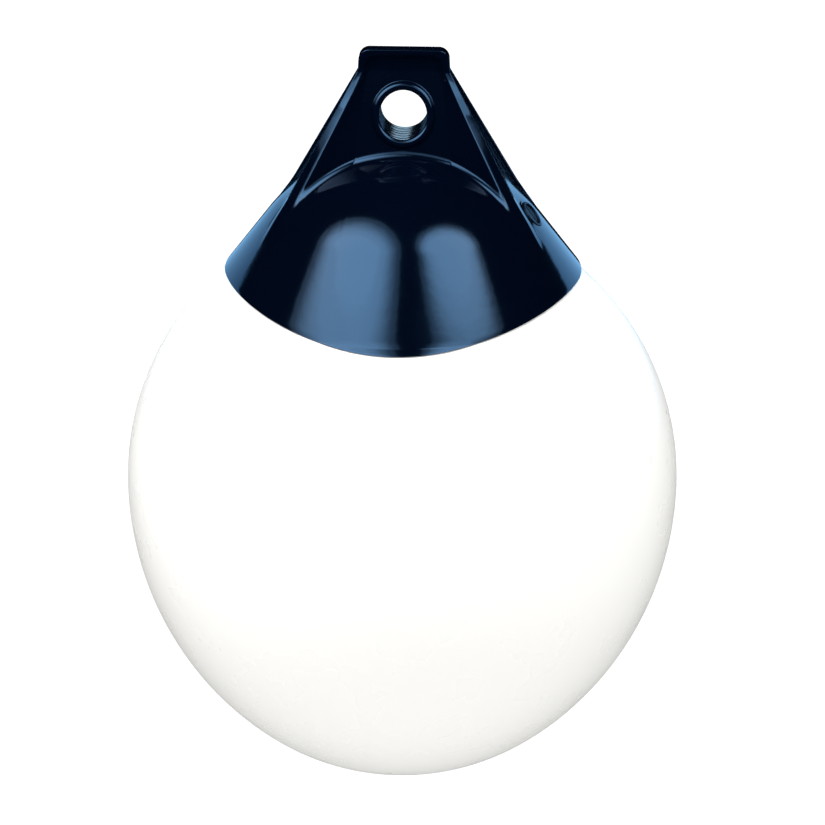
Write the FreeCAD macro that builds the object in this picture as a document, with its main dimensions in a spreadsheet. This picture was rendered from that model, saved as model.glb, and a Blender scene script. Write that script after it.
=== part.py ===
import FreeCAD, Part
import math
import os
import Sketcher

# Mooring buoy: an inflatable vinyl ball with a solid moulded rope-eye cap bonded on
# its neck, and a screw-in air valve in the cap's flank.
# The origin is the centre of the rope eye, the eye's bore runs along Y, and Z is up.
# Levels that end in _rise are measured up from the neck's edge, where the ball's sphere
# turns into its neck under the rim of the cap.

SIZES = [
    ("ball_radius", 184.0, "ball at its waist and upper half"),
    ("flank_over", 35.0, "how far the lower flank's centre lies beyond the axis"),
    ("nose_drop", 41.9, "centre of the rounded bottom below the waist"),
    ("neck_radius", 123.94, "edge of the neck"),
    ("neck_slope", 42.5, "neck, angle from the axis in degrees"),
    ("neck_crown", 130.0, "radius of the neck's domed top"),
    ("skin_wall", 3.0, "thickness of the vinyl skin"),
    ("bond_gap", 0.1, "film between the skin and the cap"),
    ("lip_wall", 1.05, "cap over the ball at its front and back rim"),
    ("blank_drop", 16.0, "bottom of the cap's turned blank below the neck's edge"),
    ("skirt_slope", 37.7, "skirt, angle from the axis in degrees"),
    ("crown_radius", 112.4, "radius of the cap's domed crown"),
    ("crown_gap", 5.4, "top of the crown below the ring around the eye"),
    ("rim_rise", 11.6, "level of the rim at the sides, its highest place"),
    ("rim_flat", 25.0, "half length of the rim's level stretch at each side"),
    ("rim_arch", 351.5, "radius of the arches from there down to the front and the back"),
    ("head_top", 40.5, "top of the head above the eye centre"),
    ("head_base", 27.0, "level where the head meets the ribbed web"),
    ("head_taper", 0.8, "how much narrower the head's top is on each side"),
    ("head_corner", 6.8, "rounded top corners of the head"),
    ("head_bar", 3.5, "bar over the recess"),
    ("face_corner", 5.5, "recess corner at the face"),
    ("web_corner", 8.5, "recess corner at the web"),
    ("top_outside", 29.2, "outer edge of a rib from the middle, under the head"),
    ("top_face", 5.6, "face of a rib from the middle plane"),
    ("top_rib", 4.6, "width of a rib's face"),
    ("top_recess", 2.9, "web's face behind the rib's face"),
    ("top_facet", 1.1, "width of the slope between the web and the rib"),
    ("top_edge", 3.2, "depth of a rib's outer side"),
    ("top_panel_slope", 0.6, "depth of the slope between the rib and the side panel"),
    ("top_panel", 1.5, "side panel's floor behind the rib's outer side"),
    ("foot_rise", 19.0, "level of the ribs' feet"),
    ("foot_inset", 0.6, "ribs' feet inside the skirt's surface"),
    ("foot_splay", 27.2, "ribs' feet from the side, in degrees round the axis"),
    ("foot_rib", 6.7, "width of a rib's face"),
    ("foot_turn", 8.8, "outer edge of a rib's face behind its inner edge"),
    ("foot_recess", 10.5, "web's face behind the rib's face"),
    ("foot_bend", 39.9, "half width of the flat web"),
    ("foot_edge", 5.0, "depth of a rib's outer side"),
    ("foot_panel_slope", 2.0, "depth of the slope between the rib and the side panel"),
    ("foot_panel", 3.1, "side panel's floor behind the rib's outer side"),
    ("eye_radius", 15.0, "bore of the rope eye"),
    ("ring_radius", 19.6, "outside of the ring around the eye"),
    ("ring_proud", 1.8, "ring's mouth in front of the web"),
    ("ring_round", 1.6, "rounded edges of the ring's mouths"),
    ("valve_rise", 53.0, "centre of the air valve on the skirt"),
    ("valve_turn", 9.4, "valve from the side towards the front, in degrees"),
    ("flange_radius", 9.1, "valve body's flange"),
    ("flange_proud", 0.3, "flange above the skirt"),
    ("flange_sunk", 5.0, "flange's seat below the skirt"),
    ("flange_round", 0.5, "rounded edges of the flange"),
    ("barrel_radius", 6.2, "valve body's barrel"),
    ("barrel_depth", 14.0, "end of the barrel below the skirt"),
    ("barrel_clear", 0.1, "clearance around the flange and the barrel"),
    ("well_radius", 7.4, "well for the screw's head"),
    ("well_depth", 3.4, "floor of the well below the skirt"),
    ("screw_radius", 4.54, "screw's shank"),
    ("screw_depth", 12.5, "end of the shank below the skirt"),
    ("screw_clear", 0.06, "running clearance around the shank"),
    ("screw_point", 0.8, "chamfer on the shank's end"),
    ("screw_head_radius", 6.9, "screw's head"),
    ("screw_head_height", 1.8, "height of the screw's head"),
    ("slot_width", 1.6, "coin slot in the screw's head"),
    ("slot_depth", 1.1, "depth of the coin slot"),
    ("seal_inside", 4.8, "inner radius of the sealing ring"),
    ("seal_outside", 6.8, "outer radius of the sealing ring"),
    ("seal_height", 0.9, "thickness of the sealing ring"),
]

doc = FreeCAD.newDocument("mooring_buoy")
sheet = doc.addObject("Spreadsheet::Sheet", "Sizes")
for row, (alias, number, meaning) in enumerate(SIZES, start=1):
    sheet.set("A%d" % row, meaning)
    sheet.set("B%d" % row, str(number))
    sheet.setAlias("B%d" % row, alias)
doc.recompute()

# How a sketch counts the points of a line or an arc, and its own origin and upright axis
START, END, CENTRE = range(1, 4)
UP_AXIS, ORIGIN = range(-2, 0)


def from_sheet(formula):
    """Write each size's name in a formula as its cell in the sheet."""
    names = sorted((alias for alias, number, meaning in SIZES), key=len, reverse=True)
    words = formula.replace("(", "( ").replace(")", " )").split(" ")
    return " ".join("Sizes." + word if word in names else word for word in words)


def value(formula):
    """Work out a formula with the sheet's present sizes."""
    result = sheet.evalExpression(from_sheet(formula))
    return float(getattr(result, "Value", result))


# The skirt's edge is on the lip's sphere at the neck's level, and the crown closes the skirt
NECK_HEIGHT = "sqrt( ball_radius ^ 2 - neck_radius ^ 2 )"
SKIRT_EDGE = "sqrt( ( ball_radius + lip_wall ) ^ 2 - ball_radius ^ 2 + neck_radius ^ 2 )"
SLOPE = "( skirt_slope * 1deg )"
CROWN_HEIGHT = (
    "( " + SKIRT_EDGE + " / tan" + SLOPE + " + crown_radius - crown_radius / sin" + SLOPE + " )"
)
CREASE = "( 0 - ring_radius - crown_gap - " + CROWN_HEIGHT + " )"
WAIST = "( " + CREASE + " - " + NECK_HEIGHT + " )"

# The web leans from its top to its feet, and the ring around the eye leans with it
FOOT_LEVEL = "( " + CREASE + " + foot_rise )"
FOOT_REACH = "( " + SKIRT_EDGE + " - foot_rise * tan" + SLOPE + " - foot_inset )"
TOP_WEB = "( top_face - top_recess )"
FOOT_WEB = "( " + FOOT_REACH + " * sin( foot_splay * 1deg ) - foot_recess )"
WEB_LEAN = "( ( " + FOOT_WEB + " - " + TOP_WEB + " ) / ( head_base - " + FOOT_LEVEL + " ) )"
RING_REACH = "( " + TOP_WEB + " + head_base * " + WEB_LEAN + " + ring_proud )"

VALVE_REACH = "( " + SKIRT_EDGE + " - valve_rise * tan" + SLOPE + " )"
VALVE_LEVEL = "( " + CREASE + " + valve_rise )"
SCREW_SEAT = "( seal_height - well_depth )"


def new_body(name):
    body = doc.addObject("PartDesign::Body", name)
    body.Label = name
    return body


def origin_feature(body, role):
    return [item for item in body.Origin.OriginFeatures if item.Role == role][0]


def new_sketch(body, name, role, offset=None):
    """Put an empty sketch on one of the body's own planes, at an offset along its normal."""
    sketch = body.newObject("Sketcher::SketchObject", name)
    sketch.AttachmentSupport = [(origin_feature(body, role), "")]
    sketch.MapMode = "FlatFace"
    if offset:
        sketch.setExpression("AttachmentOffset.Base.z", from_sheet(offset))
    return sketch


def dimension(sketch, kind, *places_and_formula):
    """Add a driven-by-sheet dimension: its last argument is the formula."""
    places = places_and_formula[:-1]
    formula = places_and_formula[-1]
    start = value(formula)
    if kind == "Angle":
        start = math.radians(start)
    index = sketch.addConstraint(Sketcher.Constraint(kind, *places, start))
    sketch.setExpression("Constraints[%d]" % index, from_sheet(formula))


def hold(sketch, shape, point, across=None, up=None):
    """Hold a point at a distance across and up from the sketch's origin."""
    if across is not None:
        dimension(sketch, "DistanceX", ORIGIN, START, shape, point, across)
    if up is not None:
        dimension(sketch, "DistanceY", ORIGIN, START, shape, point, up)


def on_up_axis(sketch, shape, point):
    sketch.addConstraint(Sketcher.Constraint("PointOnObject", shape, point, UP_AXIS))


def join(sketch, first, second):
    """The end of the first piece meets the start of the second."""
    sketch.addConstraint(Sketcher.Constraint("Coincident", first, END, second, START))


def outline(sketch, corners):
    """Draw a closed outline of straight lines through corners given as formulas."""
    places = [FreeCAD.Vector(value(across), value(up), 0) for across, up in corners]
    count = len(places)
    for index in range(count):
        sketch.addGeometry(Part.LineSegment(places[index], places[(index + 1) % count]))
    for index in range(count):
        join(sketch, index, (index + 1) % count)
        hold(sketch, index, START, *corners[index])


def circle(sketch, radius):
    """Draw a circle about the sketch's origin."""
    shape = sketch.addGeometry(Part.Circle(FreeCAD.Vector(), FreeCAD.Vector(0, 0, 1), value(radius)))
    sketch.addConstraint(Sketcher.Constraint("Coincident", shape, CENTRE, ORIGIN, START))
    dimension(sketch, "Radius", shape, radius)


def arc(centre, radius, first, last):
    """An arc, counter-clockwise, by its centre on the page and its end angles."""
    whole = Part.Circle(FreeCAD.Vector(centre[0], centre[1], 0), FreeCAD.Vector(0, 0, 1), radius)
    return Part.ArcOfCircle(whole, first, last)


def dome(sketch, line, cap, radius, slope):
    """Close a sloping line onto the axis with an arc that is tangent to it."""
    sketch.addConstraint(Sketcher.Constraint("Tangent", line, END, cap, START))
    on_up_axis(sketch, cap, CENTRE)
    on_up_axis(sketch, cap, END)
    dimension(sketch, "Radius", cap, radius)
    dimension(sketch, "Angle", line, "90 + " + slope)


def slope_and_dome(edge, level, slope, radius):
    """Work out a sloping line from an edge point and the arc that rounds it off at the axis."""
    lean = math.radians(slope)
    apex = level + edge / math.tan(lean)
    centre = apex - radius / math.sin(lean)
    touch = FreeCAD.Vector(radius * math.cos(lean), centre + radius * math.sin(lean), 0)
    line = Part.LineSegment(FreeCAD.Vector(edge, level, 0), touch)
    return line, arc((0, centre), radius, lean, math.pi / 2)


def ball_profile(sketch, growth):
    """Half section of the ball: nose, flank, upper sphere, neck and the neck's domed top.

    Every wall is moved outwards by the growth, which is negative for the inside.
    """
    waist = value(WAIST)
    crease = value(CREASE)
    ball = value("ball_radius + " + growth)
    crown = value("neck_crown + " + growth)
    over = value("flank_over")
    drop = value("nose_drop")
    flank = ball + over
    nose = flank - math.hypot(over, drop)
    nose_centre = waist - drop
    turn = math.atan2(-drop, over)
    crease_turn = math.asin((crease - waist) / ball)
    edge = ball * math.cos(crease_turn)
    neck_line, neck_dome = slope_and_dome(edge, crease, value("neck_slope"), crown)
    bottom = FreeCAD.Vector(0, nose_centre - nose, 0)
    sketch.addGeometry(arc((0, nose_centre), nose, -math.pi / 2, turn))
    sketch.addGeometry(arc((-over, waist), flank, turn, 0))
    sketch.addGeometry(arc((0, waist), ball, 0, crease_turn))
    sketch.addGeometry(neck_line)
    sketch.addGeometry(neck_dome)
    sketch.addGeometry(Part.LineSegment(neck_dome.EndPoint, bottom))
    on_up_axis(sketch, 0, CENTRE)
    hold(sketch, 0, CENTRE, up=WAIST + " - nose_drop")
    on_up_axis(sketch, 0, START)
    sketch.addConstraint(Sketcher.Constraint("Tangent", 0, END, 1, START))
    hold(sketch, 1, CENTRE, up=WAIST)
    join(sketch, 1, 2)
    on_up_axis(sketch, 2, CENTRE)
    hold(sketch, 2, CENTRE, up=WAIST)
    hold(sketch, 2, START, up=WAIST)
    hold(sketch, 2, END, up=CREASE)
    join(sketch, 2, 3)
    join(sketch, 4, 5)
    join(sketch, 5, 0)
    dimension(sketch, "Radius", 1, "ball_radius + flank_over + " + growth)
    dimension(sketch, "Radius", 2, "ball_radius + " + growth)
    dome(sketch, 3, 4, "neck_crown + " + growth, "neck_slope")


def turn_about_axis(body, kind, sketch, name):
    """Revolve or groove a half section once round the body's upright axis."""
    feature = body.newObject("PartDesign::" + kind, name)
    feature.Profile = sketch
    feature.ReferenceAxis = (sketch, ["V_Axis"])
    feature.Angle = 360
    return feature


def place_on_skirt(item, depth):
    """Stand an item on the valve's axis, square to the skirt, at a depth below its surface."""
    reach = "( " + VALVE_REACH + " - ( " + depth + " ) * cos( skirt_slope * 1deg ) )"
    item.setExpression("Placement.Base.x", from_sheet(reach + " * cos( valve_turn * 1deg )"))
    item.setExpression("Placement.Base.y", from_sheet("0 - " + reach + " * sin( valve_turn * 1deg )"))
    level = VALVE_LEVEL + " - ( " + depth + " ) * sin( skirt_slope * 1deg )"
    item.setExpression("Placement.Base.z", from_sheet(level))
    item.setExpression("Placement.Rotation.Yaw", from_sheet("0 - valve_turn"))
    item.setExpression("Placement.Rotation.Pitch", from_sheet("90 - skirt_slope"))


def drill_for_valve(body, name, radius, depth, length):
    """Bore a round hole down the valve's axis, from a depth outwards."""
    hole = body.newObject("PartDesign::SubtractiveCylinder", name)
    hole.setExpression("Radius", from_sheet(radius))
    hole.setExpression("Height", from_sheet(length))
    place_on_skirt(hole, depth)
    return hole


def edges_where(shape, is_wanted):
    """Name the edges whose points all pass a test."""
    names = []
    for index, edge in enumerate(shape.Edges, start=1):
        if not edge.Degenerated and all(is_wanted(point) for point in edge.discretize(9)):
            names.append("Edge%d" % index)
    return names


def round_edges(body, name, radius, is_wanted):
    """Round the edges of the body's last feature that pass a test."""
    doc.recompute()
    base = body.Tip
    fillet = body.newObject("PartDesign::Fillet", name)
    fillet.Base = (base, edges_where(base.Shape, is_wanted))
    fillet.setExpression("Radius", from_sheet(radius))
    return fillet


def near(first, second):
    return abs(first - second) < 0.01


def make_ball_skin():
    """The inflated skin: a turned shell, bored through its neck for the air valve."""
    body = new_body("ball_skin")
    outside = new_sketch(body, "ball_outside", "XZ_Plane")
    ball_profile(outside, "0")
    turn_about_axis(body, "Revolution", outside, "ball_blank")
    inside = new_sketch(body, "ball_inside", "XZ_Plane")
    ball_profile(inside, "0 - skin_wall")
    turn_about_axis(body, "Groove", inside, "ball_hollow")
    drill_for_valve(body, "skin_hole", "barrel_radius + barrel_clear", "2 * barrel_depth", "3 * barrel_depth")
    return body


def cap_profile(sketch):
    """Half section of the cap's blank: base, lip over the ball, skirt and domed crown."""
    waist = value(WAIST)
    crease = value(CREASE)
    base = crease - value("blank_drop")
    lip = value("ball_radius + lip_wall")
    base_turn = math.asin((base - waist) / lip)
    crease_turn = math.asin((crease - waist) / lip)
    skirt, crown = slope_and_dome(value(SKIRT_EDGE), crease, value("skirt_slope"), value("crown_radius"))
    base_start = FreeCAD.Vector(0, base, 0)
    base_end = FreeCAD.Vector(lip * math.cos(base_turn), base, 0)
    sketch.addGeometry(Part.LineSegment(base_start, base_end))
    sketch.addGeometry(arc((0, waist), lip, base_turn, crease_turn))
    sketch.addGeometry(skirt)
    sketch.addGeometry(crown)
    sketch.addGeometry(Part.LineSegment(crown.EndPoint, base_start))
    on_up_axis(sketch, 0, START)
    sketch.addConstraint(Sketcher.Constraint("Horizontal", 0))
    hold(sketch, 0, START, up=CREASE + " - blank_drop")
    join(sketch, 0, 1)
    on_up_axis(sketch, 1, CENTRE)
    hold(sketch, 1, CENTRE, up=WAIST)
    hold(sketch, 1, END, up=CREASE)
    dimension(sketch, "Radius", 1, "ball_radius + lip_wall")
    join(sketch, 1, 2)
    join(sketch, 3, 4)
    join(sketch, 4, 0)
    dome(sketch, 2, 3, "crown_radius", "skirt_slope")


def rib_section(level, outside, face, edge_face, bend, web):
    """Corners of the ribbed web at one level: flat web, front and back ribs, side panels.

    The rib's outer side, its face at the inner and the outer edge, the web's bend and the
    web's face are given from the middle, and the rest hangs on them with the sizes of that
    level.
    """
    edge = edge_face + " - " + level + "_edge"
    quarter = [
        (bend, web),
        (outside + " - " + level + "_rib", face),
        (outside, edge_face),
        (outside, edge),
        (outside + " - " + level + "_panel", edge + " - " + level + "_panel_slope"),
    ]
    turned = list(reversed(quarter))
    minus = "0 - ( %s )"
    right_front = [(across, minus % back) for across, back in quarter]
    right_back = [(across, back) for across, back in turned]
    left_back = [(minus % across, back) for across, back in quarter]
    left_front = [(minus % across, minus % back) for across, back in turned]
    return right_front + right_back + left_back + left_front


def recess_outline(sketch, half, top, corner):
    """Draw the head's recess: straight sides and a straight top with rounded corners."""
    left = "0 - ( " + half + " )"
    corners = [
        (left, "head_base"),
        (left, top + " - " + corner),
        (left + " + " + corner, top),
        (half + " - " + corner, top),
        (half, top + " - " + corner),
        (half, "head_base"),
    ]
    places = [FreeCAD.Vector(value(across), value(up), 0) for across, up in corners]
    radius = value(corner)
    middle = places[3].x
    shoulder = places[1].y
    sketch.addGeometry(Part.LineSegment(places[0], places[1]))
    sketch.addGeometry(arc((-middle, shoulder), radius, math.pi / 2, math.pi))
    sketch.addGeometry(Part.LineSegment(places[2], places[3]))
    sketch.addGeometry(arc((middle, shoulder), radius, 0, math.pi / 2))
    sketch.addGeometry(Part.LineSegment(places[4], places[5]))
    sketch.addGeometry(Part.LineSegment(places[5], places[0]))
    meetings = [(0, END, 1, END), (1, START, 2, START), (2, END, 3, END), (3, START, 4, START)]
    for meeting in meetings + [(4, END, 5, START), (5, END, 0, START)]:
        sketch.addConstraint(Sketcher.Constraint("Coincident", *meeting))
    ends = [(0, START), (0, END), (2, START), (2, END), (4, START), (4, END)]
    for (shape, point), (across, up) in zip(ends, corners):
        hold(sketch, shape, point, across, up)
    dimension(sketch, "Radius", 1, corner)
    dimension(sketch, "Radius", 3, corner)


def add_head(body):
    """The slab over the eye, recessed on both faces so that a bar and two legs stand proud."""
    slab_outline = new_sketch(body, "head_outline", "XZ_Plane")
    outline(slab_outline, [
        ("0 - top_outside", "head_base"),
        ("top_outside", "head_base"),
        ("top_outside - head_taper", "head_top"),
        ("head_taper - top_outside", "head_top"),
    ])
    slab = body.newObject("PartDesign::Pad", "head_slab")
    slab.Profile = slab_outline
    slab.setExpression("Length", from_sheet("2 * top_face"))
    slab.Midplane = True
    half = value("top_outside - head_taper")
    top = value("head_top")
    round_edges(body, "head_corners", "head_corner", lambda p: near(abs(p.x), half) and near(p.z, top))
    face_half = "top_outside - top_rib"
    face_top = "head_top - head_bar"
    for side, sign in (("front", ""), ("back", "0 - ")):
        face = new_sketch(body, side + "_recess_face", "XZ_Plane", sign + "top_face")
        recess_outline(face, face_half, face_top, "face_corner")
        web = new_sketch(body, side + "_recess_web", "XZ_Plane", sign + TOP_WEB)
        recess_outline(web, face_half + " - top_facet", face_top + " - top_facet", "web_corner")
        recess = body.newObject("PartDesign::SubtractiveLoft", side + "_recess")
        recess.Profile = face
        recess.Sections = [web]
        recess.Ruled = True


def add_ribbed_web(body):
    """The web that widens from the head to the skirt, with its four ribs and side panels."""
    foot_outside = "( " + FOOT_REACH + " * cos( foot_splay * 1deg ) )"
    foot_face = "( " + FOOT_REACH + " * sin( foot_splay * 1deg ) )"
    top_bend = "top_outside - top_rib - top_facet"
    feet = new_sketch(body, "web_feet", "XY_Plane", FOOT_LEVEL)
    turned = foot_face + " - foot_turn"
    outline(feet, rib_section("foot", foot_outside, foot_face, turned, "foot_bend", FOOT_WEB))
    top = new_sketch(body, "web_top", "XY_Plane", "head_base")
    outline(top, rib_section("top", "top_outside", "top_face", "top_face", top_bend, TOP_WEB))
    web = body.newObject("PartDesign::AdditiveLoft", "ribbed_web")
    web.Profile = feet
    web.Sections = [top]
    web.Ruled = True


def add_skirt(body):
    """The skirt and crown, hollowed to the ball's shape and trimmed to an arched rim."""
    section = new_sketch(body, "skirt_section", "XZ_Plane")
    cap_profile(section)
    turn_about_axis(body, "Revolution", section, "skirt_blank")
    seat = new_sketch(body, "ball_seat_section", "XZ_Plane")
    ball_profile(seat, "bond_gap")
    turn_about_axis(body, "Groove", seat, "ball_seat")
    trim = new_sketch(body, "rim_trim", "YZ_Plane")
    waist = value(WAIST)
    reach = value("ball_radius")
    radius = value("rim_arch")
    flat = value("rim_flat")
    top = value(CREASE + " + rim_rise")
    swing = math.asin((reach - flat) / radius)
    edge = top - radius + radius * math.cos(swing)
    trim.addGeometry(arc((flat, top - radius), radius, math.pi / 2 - swing, math.pi / 2))
    trim.addGeometry(Part.LineSegment(FreeCAD.Vector(flat, top, 0), FreeCAD.Vector(-flat, top, 0)))
    trim.addGeometry(arc((-flat, top - radius), radius, math.pi / 2, math.pi / 2 + swing))
    sides = [(-reach, edge), (-reach, waist), (reach, waist), (reach, edge)]
    places = [FreeCAD.Vector(across, up, 0) for across, up in sides]
    for index in range(3):
        trim.addGeometry(Part.LineSegment(places[index], places[index + 1]))
    for index in range(2, 6):
        join(trim, index, (index + 1) % 6)
    trim.addConstraint(Sketcher.Constraint("Tangent", 0, END, 1, START))
    trim.addConstraint(Sketcher.Constraint("Tangent", 1, END, 2, START))
    trim.addConstraint(Sketcher.Constraint("Horizontal", 1))
    hold(trim, 1, START, "rim_flat", CREASE + " + rim_rise")
    hold(trim, 1, END, "0 - rim_flat")
    dimension(trim, "Radius", 0, "rim_arch")
    dimension(trim, "Radius", 2, "rim_arch")
    trim.addConstraint(Sketcher.Constraint("Vertical", 3))
    trim.addConstraint(Sketcher.Constraint("Horizontal", 4))
    trim.addConstraint(Sketcher.Constraint("Vertical", 5))
    hold(trim, 3, END, "0 - ball_radius", WAIST)
    hold(trim, 4, END, "ball_radius")
    rim = body.newObject("PartDesign::Pocket", "arched_rim")
    rim.Profile = trim
    rim.Type = "ThroughAll"
    rim.Midplane = True


def add_eye(body):
    """The raised ring around the rope eye, its mouths leaning with the web, and its bore."""
    rise = value(WEB_LEAN)
    lean = math.degrees(math.atan(rise))
    for side, sign, back in (("front", "", False), ("back", "0 - ", True)):
        mouth = body.newObject("PartDesign::Plane", side + "_mouth")
        mouth.AttachmentSupport = [(origin_feature(body, "XZ_Plane"), "")]
        mouth.MapMode = "FlatFace"
        hinge = FreeCAD.Vector(1 if back else -1, 0, 0)
        mouth.AttachmentOffset = FreeCAD.Placement(FreeCAD.Vector(), FreeCAD.Rotation(hinge, lean))
        mouth.setExpression("AttachmentOffset.Base.z", from_sheet(sign + RING_REACH))
        mouth.setExpression("AttachmentOffset.Rotation.Angle", from_sheet("atan( " + WEB_LEAN + " )"))
        rim = new_sketch(body, side + "_ring_outline", "XZ_Plane")
        circle(rim, "ring_radius")
        ring = body.newObject("PartDesign::Pad", side + "_ring")
        ring.Profile = rim
        ring.Type = "UpToFace"
        ring.UpToFace = (mouth, [""])
        ring.Reversed = back
    bore_outline = new_sketch(body, "eye_outline", "XZ_Plane")
    circle(bore_outline, "eye_radius")
    bore = body.newObject("PartDesign::Pocket", "eye_bore")
    bore.Profile = bore_outline
    bore.Type = "ThroughAll"
    bore.Midplane = True
    reach = value(RING_REACH)
    radii = (value("eye_radius"), value("ring_radius"))

    def on_mouth(point):
        across = math.hypot(point.x, point.z)
        on_edge = near(across, radii[0]) or near(across, radii[1])
        return on_edge and near(abs(point.y), reach - point.z * rise)

    round_edges(body, "ring_edges", "ring_round", on_mouth)


def make_rope_eye_cap():
    """The solid moulded cap: head, ribbed web, skirt, rope eye and the valve's seat."""
    body = new_body("rope_eye_cap")
    add_head(body)
    add_ribbed_web(body)
    add_skirt(body)
    add_eye(body)
    drill_for_valve(body, "valve_seat", "flange_radius + barrel_clear", "flange_sunk", "3 * flange_sunk")
    drill_for_valve(body, "valve_hole", "barrel_radius + barrel_clear", "2 * barrel_depth", "3 * barrel_depth")
    return body


def turned_piece(name, corners):
    """A body turned from a half section, standing on the valve's axis."""
    body = new_body(name)
    section = new_sketch(body, name + "_section", "XZ_Plane")
    outline(section, corners)
    turn_about_axis(body, "Revolution", section, name + "_turning")
    place_on_skirt(body, "0")
    return body


def make_valve_body():
    """The flanged sleeve that is bonded into the cap and carries the screw."""
    body = turned_piece("valve_body", [
        ("screw_radius + screw_clear", "0 - barrel_depth"),
        ("barrel_radius", "0 - barrel_depth"),
        ("barrel_radius", "0 - flange_sunk"),
        ("flange_radius", "0 - flange_sunk"),
        ("flange_radius", "flange_proud"),
        ("well_radius", "flange_proud"),
        ("well_radius", "0 - well_depth"),
        ("screw_radius + screw_clear", "0 - well_depth"),
    ])
    top = value("flange_proud")
    round_edges(body, "valve_body_edges", "flange_round", lambda p: near(p.z, top))
    return body


def make_valve_seal():
    """The soft ring that the screw's head presses onto the floor of the well."""
    return turned_piece("valve_seal", [
        ("seal_inside", "0 - well_depth"),
        ("seal_outside", "0 - well_depth"),
        ("seal_outside", SCREW_SEAT),
        ("seal_inside", SCREW_SEAT),
    ])


def make_valve_screw():
    """The screw-in plug, with a slot for a coin or a screwdriver across its head."""
    head_top = SCREW_SEAT + " + screw_head_height"
    body = turned_piece("valve_screw", [
        ("0", "0 - screw_depth"),
        ("screw_radius - screw_point", "0 - screw_depth"),
        ("screw_radius", "screw_point - screw_depth"),
        ("screw_radius", SCREW_SEAT),
        ("screw_head_radius", SCREW_SEAT),
        ("screw_head_radius", head_top),
        ("0", head_top),
    ])
    slot_outline = new_sketch(body, "slot_outline", "XY_Plane", head_top)
    outline(slot_outline, [
        ("0 - screw_head_radius", "0 - slot_width / 2"),
        ("screw_head_radius", "0 - slot_width / 2"),
        ("screw_head_radius", "slot_width / 2"),
        ("0 - screw_head_radius", "slot_width / 2"),
    ])
    slot = body.newObject("PartDesign::Pocket", "slot")
    slot.Profile = slot_outline
    slot.setExpression("Length", from_sheet("slot_depth"))
    return body


pieces = [
    make_ball_skin(),
    make_rope_eye_cap(),
    make_valve_body(),
    make_valve_seal(),
    make_valve_screw(),
]
doc.recompute()

failed = [item.Name for item in doc.Objects if "Invalid" in item.State or "Error" in item.State]
if failed:
    raise RuntimeError("these objects failed: " + ", ".join(failed))
for piece in pieces:
    if piece.Shape.isNull() or not piece.Shape.isValid() or len(piece.Shape.Solids) != 1:
        raise RuntimeError(piece.Label + " isn't one valid solid")

os.makedirs("parts", exist_ok=True)
for piece in pieces:
    piece.Shape.exportStep("parts/" + piece.Label + ".step")
    box = piece.Shape.BoundBox
    print(piece.Label, "volume %.1f" % piece.Shape.Volume, "z %.2f to %.2f" % (box.ZMin, box.ZMax))
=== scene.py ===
import math

import bmesh
import bpy
import numpy as np
from mathutils import Matrix, Vector


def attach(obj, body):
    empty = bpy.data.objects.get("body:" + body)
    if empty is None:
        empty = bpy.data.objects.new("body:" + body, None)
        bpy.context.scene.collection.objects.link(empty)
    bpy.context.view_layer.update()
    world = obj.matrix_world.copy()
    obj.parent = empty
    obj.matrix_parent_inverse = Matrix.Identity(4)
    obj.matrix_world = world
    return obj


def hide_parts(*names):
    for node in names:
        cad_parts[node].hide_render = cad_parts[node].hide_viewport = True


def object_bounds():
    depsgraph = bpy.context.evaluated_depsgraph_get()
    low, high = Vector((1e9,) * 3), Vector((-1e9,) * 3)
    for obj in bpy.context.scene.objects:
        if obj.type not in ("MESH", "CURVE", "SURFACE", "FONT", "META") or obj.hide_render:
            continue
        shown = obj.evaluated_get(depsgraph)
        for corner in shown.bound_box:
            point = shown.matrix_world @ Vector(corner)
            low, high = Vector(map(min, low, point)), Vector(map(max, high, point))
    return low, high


bl_info = {
    "name": "Mooring buoy",
    "version": (1, 0, 0),
    "blender": (4, 5, 0),
    "location": "View3D > Sidebar > Buoy",
    "description": "Dresses the packed mooring buoy: ball, rope-eye cap and air valve",
    "category": "Object",
}

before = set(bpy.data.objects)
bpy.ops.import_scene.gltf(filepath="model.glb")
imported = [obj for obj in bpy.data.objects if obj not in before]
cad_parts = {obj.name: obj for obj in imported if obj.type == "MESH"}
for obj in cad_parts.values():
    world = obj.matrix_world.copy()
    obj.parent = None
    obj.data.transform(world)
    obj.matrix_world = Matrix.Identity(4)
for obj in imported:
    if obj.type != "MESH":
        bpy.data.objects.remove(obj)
CAD_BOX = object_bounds()

# Sizes are in millimetres, or in metres where a comment says so, in the frame's axes: the
# rope eye's centre is 0, Z is up, and the front faces -Y. Depth is counted to the front.
MM = 0.001

# The ball: levels of its waist and of its neck's edge, radius of its upper half, how far past
# the axis its flank's arc is centred and its nose's below the waist, its neck, wall and bond
WAIST = -251.963
CREASE = -115.967
BALL_RADIUS = 184.0
FLANK_OVER = 35.0
NOSE_DROP = 41.9
NECK_SLOPE = math.radians(42.5)
NECK_CROWN = 130.0
SKIN_WALL = 3.0
BOND_GAP = 0.1

# The cap: lip over the ball, skirt cone, domed crown, arched rim, and the roundings of the rim
# and of the valve seat's lip
LIP_RADIUS = 185.05
SKIRT_EDGE = 125.4935
SKIRT_SLOPE = math.radians(37.7)
CROWN_RADIUS = 112.4
CROWN_CENTRE = CREASE + SKIRT_EDGE / math.tan(SKIRT_SLOPE) - CROWN_RADIUS / math.sin(SKIRT_SLOPE)
RIM_TOP = -104.367
RIM_FLAT = 25.0
RIM_ARCH = 351.5
FINE_EDGE = 0.35

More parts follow.
